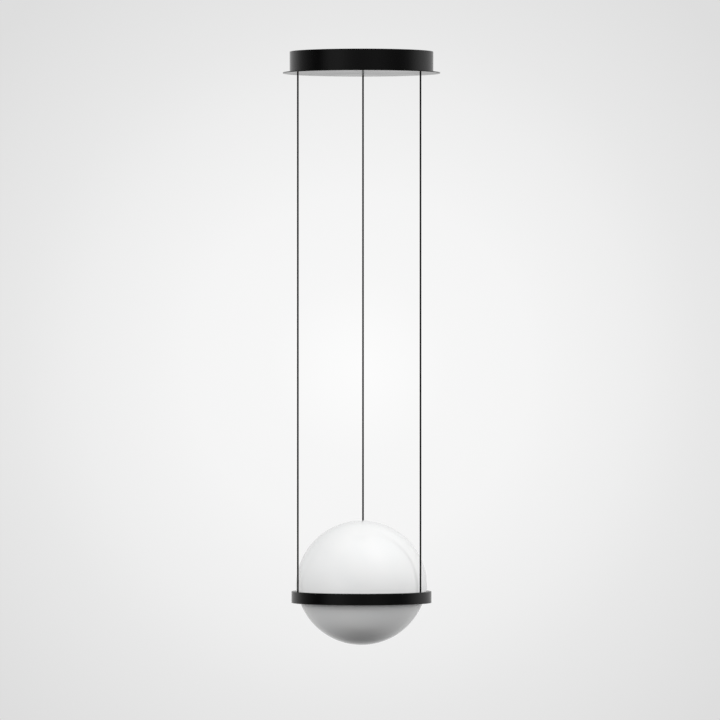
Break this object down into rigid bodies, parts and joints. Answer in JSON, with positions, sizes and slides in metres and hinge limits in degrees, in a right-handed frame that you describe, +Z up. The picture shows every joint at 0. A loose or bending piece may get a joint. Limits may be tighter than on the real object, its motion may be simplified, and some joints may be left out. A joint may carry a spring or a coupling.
{
  "type": "pendant lamp",
  "caption": "Hanging lamp: opal glass globe in a black ring, level on parallel cables from a round black ceiling canopy.",
  "frame": {"origin": "centre of the ceiling bracket's upper face, on the ceiling", "axes": "+Z up to the ceiling, the picture is taken from -Y, +X to the right"},
  "size_m": [0.3599, 0.36, 1.356],
  "materials": {
    "black_steel": "satin black lacquer on sheet steel",
    "black_aluminium": "satin black lacquer on aluminium",
    "opal_glass": "glossy white opal glass",
    "cable_jacket": "matt black jacket over a fine steel core",
    "zinc_steel": "zinc plated",
    "black_steel_small": "blackened steel",
    "bare_aluminium": "plain",
    "brass": "turned",
    "nylon": "natural nylon",
    "dark_nylon": "black nylon",
    "driver_plastic": "white moulded case",
    "black_rubber": "soft",
    "clear_silicone": "translucent silicone",
    "strip_board": "white flexible board",
    "chip_phosphor": "yellow phosphor",
    "wire_insulation": "coloured insulation"
  },
  "bodies": {
    "canopy": {"ceiling_bracket": "zinc_steel", "inlet_grommet": "black_rubber", "bracket_pillars": "zinc_steel", "canopy_drum": "black_steel", "canopy_plate": "black_steel", "plate_screws": "black_steel_small", "driver_case": "driver_plastic", "driver_caps": "driver_plastic", "driver_screws": "zinc_steel", "terminal_block": "nylon", "terminal_screws": "brass", "strain_clamp": "nylon", "strain_screws": "zinc_steel", "earth_stud": "brass", "earth_lug": "brass", "supply_leads": "wire_insulation", "output_leads": "wire_insulation", "earth_lead": "wire_insulation", "seat_lugs": "brass", "plate_bushes": "dark_nylon", "seat_back": "brass", "seat_left": "brass", "seat_right": "brass"},
    "back_liner": {"liner_back": "nylon"},
    "back_swivel": {"ball_back": "brass", "clamp_nut_back": "zinc_steel"},
    "back_cable": {"cable_back": "cable_jacket"},
    "left_liner": {"liner_left": "nylon"},
    "left_swivel": {"ball_left": "brass", "clamp_nut_left": "zinc_steel"},
    "left_cable": {"cable_left": "cable_jacket", "end_ball_left": "brass"},
    "right_liner": {"liner_right": "nylon"},
    "right_swivel": {"ball_right": "brass", "clamp_nut_right": "zinc_steel"},
    "right_cable": {"cable_right": "cable_jacket", "end_ball_right": "brass"},
    "back_end": {"end_ball_back": "brass"},
    "head": {"ring_band": "black_aluminium", "socket_sleeves": "nylon", "socket_plugs": "black_steel_small", "dome_glass": "opal_glass", "dome_gasket": "clear_silicone", "led_carrier": "bare_aluminium", "carrier_screws": "zinc_steel", "led_strip": "strip_board", "led_chips": "chip_phosphor", "strip_leads": "wire_insulation", "bayonet_hooks": "zinc_steel", "hook_screws": "zinc_steel"},
    "bowl": {"bowl_glass": "opal_glass", "bowl_collar": "black_aluminium", "bowl_bond": "clear_silicone"}
  },
  "joints": [
    {"name": "swing_front_back", "type": "hinge", "parent": "canopy", "child": "back_liner", "pos_m": [0.00353, 0.15546, -0.04], "axis": [1, 0, 0], "range_deg": [-4, 4]},
    {"name": "swing_side", "type": "hinge", "parent": "back_liner", "child": "back_swivel", "pos_m": [0.00353, 0.15546, -0.04], "axis": [0, 1, 0], "range_deg": [-4, 4]},
    {"name": "height", "type": "slide", "parent": "back_swivel", "child": "back_cable", "axis": [0, 0, 1], "range_m": [-0.01, 0.01]},
    {"name": "back_end_side", "type": "hinge", "parent": "back_cable", "child": "back_end", "pos_m": [0.00353, 0.15546, -1.2425], "axis": [0, 1, 0], "range_deg": [-4, 4]},
    {"name": "head_level", "type": "hinge", "parent": "back_end", "child": "head", "pos_m": [0.00353, 0.15546, -1.2425], "axis": [1, 0, 0], "range_deg": [-4, 4]},
    {"name": "bowl_twist", "type": "hinge", "parent": "head", "child": "bowl", "pos_m": [0, 0, -1.2535], "axis": [0, 0, 1], "range_deg": [0, 24]},
    {"name": "left_front_back", "type": "hinge", "parent": "canopy", "child": "left_liner", "pos_m": [-0.14498, -0.05623, -0.04], "axis": [1, 0, 0], "range_deg": [-4, 4]},
    {"name": "left_side", "type": "hinge", "parent": "left_liner", "child": "left_swivel", "pos_m": [-0.14498, -0.05623, -0.04], "axis": [0, 1, 0], "range_deg": [-4, 4]},
    {"name": "left_height", "type": "slide", "parent": "left_swivel", "child": "left_cable", "axis": [0, 0, 1], "range_m": [-0.01, 0.01]},
    {"name": "right_front_back", "type": "hinge", "parent": "canopy", "child": "right_liner", "pos_m": [0.13419, -0.07857, -0.04], "axis": [1, 0, 0], "range_deg": [-4, 4]},
    {"name": "right_side", "type": "hinge", "parent": "right_liner", "child": "right_swivel", "pos_m": [0.13419, -0.07857, -0.04], "axis": [0, 1, 0], "range_deg": [-4, 4]},
    {"name": "right_height", "type": "slide", "parent": "right_swivel", "child": "right_cable", "axis": [0, 0, 1], "range_m": [-0.01, 0.01]}
  ],
  "couplings": [
    {"joint": "back_end_side", "follows": "swing_side", "ratio": -1},
    {"joint": "head_level", "follows": "swing_front_back", "ratio": -1},
    {"joint": "left_front_back", "follows": "swing_front_back", "ratio": 1},
    {"joint": "left_side", "follows": "swing_side", "ratio": 1},
    {"joint": "left_height", "follows": "height", "ratio": 1},
    {"joint": "right_front_back", "follows": "swing_front_back", "ratio": 1},
    {"joint": "right_side", "follows": "swing_side", "ratio": 1},
    {"joint": "right_height", "follows": "height", "ratio": 1}
  ]
}
